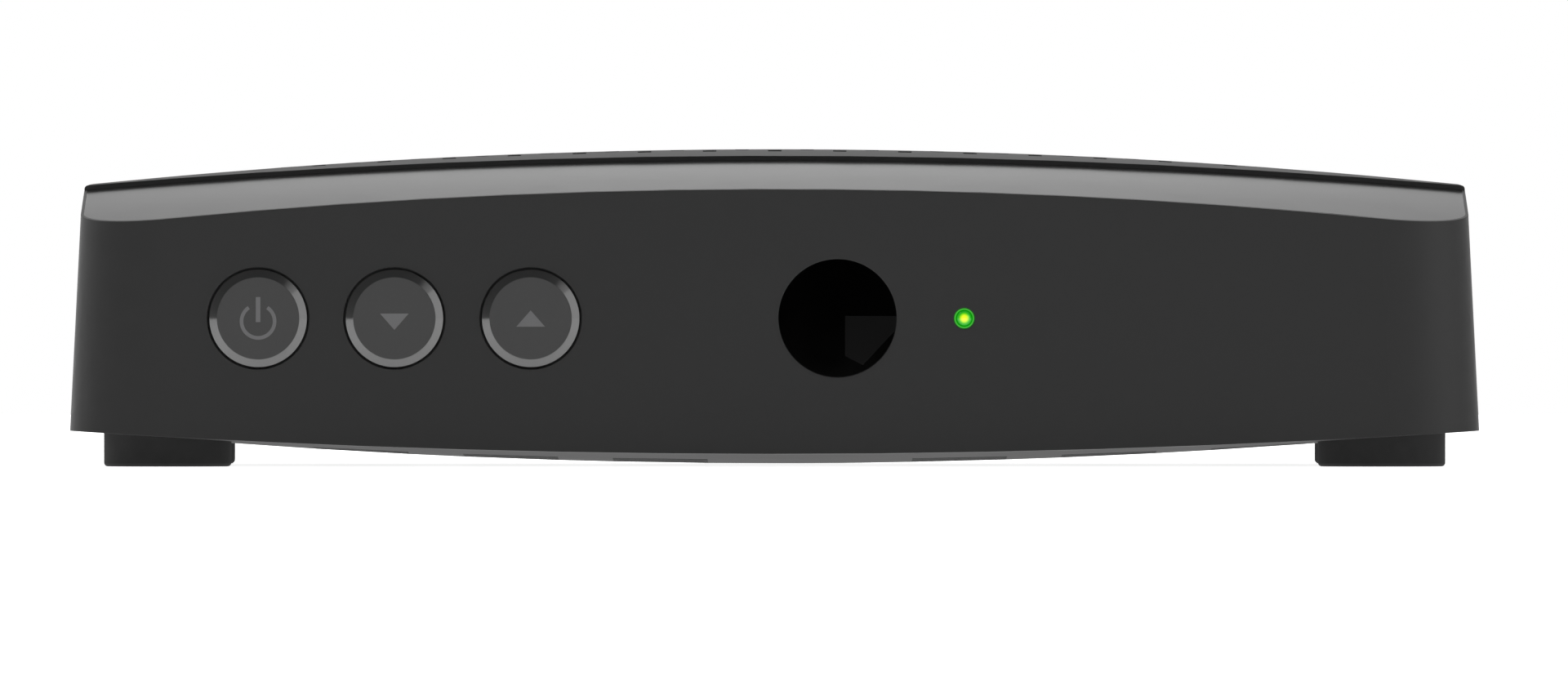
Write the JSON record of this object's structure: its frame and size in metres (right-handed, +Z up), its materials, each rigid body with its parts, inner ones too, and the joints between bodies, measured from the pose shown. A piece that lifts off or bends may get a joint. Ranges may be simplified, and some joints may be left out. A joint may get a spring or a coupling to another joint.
{
  "type": "satellite tv receiver",
  "caption": "Low dark plastic set-top box with crowned vented covers, round push buttons, infrared window, status lamp and rear sockets.",
  "frame": {"origin": "on the table, under the middle of the overall width and length", "axes": "+X to the right seen from the front, +Y from the front to the rear sockets, +Z up"},
  "size_m": [0.2072, 0.15, 0.0471],
  "materials": {
    "case_plastic": "fine moulded texture",
    "panel_plastic": "satin, very fine texture",
    "band_gloss": "polished",
    "button_plastic": "satin",
    "window_black": "polished",
    "lamp_green": "clear tinted epoxy, lit",
    "foot_rubber": "matt",
    "board_green": "solder mask",
    "steel_black": "black paint",
    "screw_steel": "zinc plated",
    "nickel": "nickel plated",
    "tin_plate": "tin plated sheet",
    "insulator_white": "moulded",
    "socket_black": "moulded",
    "audio_orange": "moulded",
    "contact_gold": "gold plated",
    "chip_black": "moulded epoxy",
    "aluminium": "extruded",
    "can_sleeve": "shrink sleeve"
  },
  "bodies": {
    "receiver": {"top_cover": "case_plastic", "bottom_cover": "case_plastic", "front_panel": "panel_plastic", "front_trim_band": "band_gloss", "foot_front_left": "foot_rubber", "foot_front_right": "foot_rubber", "foot_rear_left": "foot_rubber", "foot_rear_right": "foot_rubber", "power_switch": "socket_black", "channel_down_switch": "socket_black", "channel_up_switch": "socket_black", "button_guide": "socket_black", "infrared_window": "window_black", "status_lamp": "lamp_green", "lamp_holder": "socket_black", "infrared_receiver": "window_black", "main_board": "board_green", "front_board": "board_green", "link_header": "socket_black", "board_screws": "screw_steel", "front_board_screws": "screw_steel", "cover_screws": "screw_steel", "rear_panel": "steel_black", "lnb_socket": "nickel", "loop_socket": "nickel", "lnb_socket_core": "insulator_white", "loop_socket_core": "insulator_white", "socket_nuts": "nickel", "tuner_can": "tin_plate", "scart_socket": "socket_black", "hdmi_shell": "nickel", "hdmi_tongue": "socket_black", "usb_shell": "nickel", "usb_tongue": "insulator_white", "audio_socket_body": "audio_orange", "audio_socket_sleeve": "nickel", "audio_socket_core": "audio_orange", "ethernet_socket": "socket_black", "ethernet_pins": "contact_gold", "power_inlet": "socket_black", "power_inlet_pin": "nickel", "card_reader": "socket_black", "main_processor": "chip_black", "heat_sink": "aluminium", "memory_chips": "chip_black", "flash_chip": "chip_black", "clock_crystal": "tin_plate", "capacitors": "can_sleeve", "power_coils": "chip_black"},
    "power_key": {"power_button": "button_plastic", "power_plunger": "socket_black"},
    "channel_down_key": {"channel_down_button": "button_plastic", "channel_down_plunger": "socket_black"},
    "channel_up_key": {"channel_up_button": "button_plastic", "channel_up_plunger": "socket_black"}
  },
  "joints": [
    {"name": "power_press", "type": "slide", "parent": "receiver", "child": "power_key", "axis": [0, 1, 0], "range_m": [0, 0.0005], "stiffness_N_per_m": 3000},
    {"name": "channel_down_press", "type": "slide", "parent": "receiver", "child": "channel_down_key", "axis": [0, 1, 0], "range_m": [0, 0.0005], "stiffness_N_per_m": 3000},
    {"name": "channel_up_press", "type": "slide", "parent": "receiver", "child": "channel_up_key", "axis": [0, 1, 0], "range_m": [0, 0.0005], "stiffness_N_per_m": 3000}
  ]
}
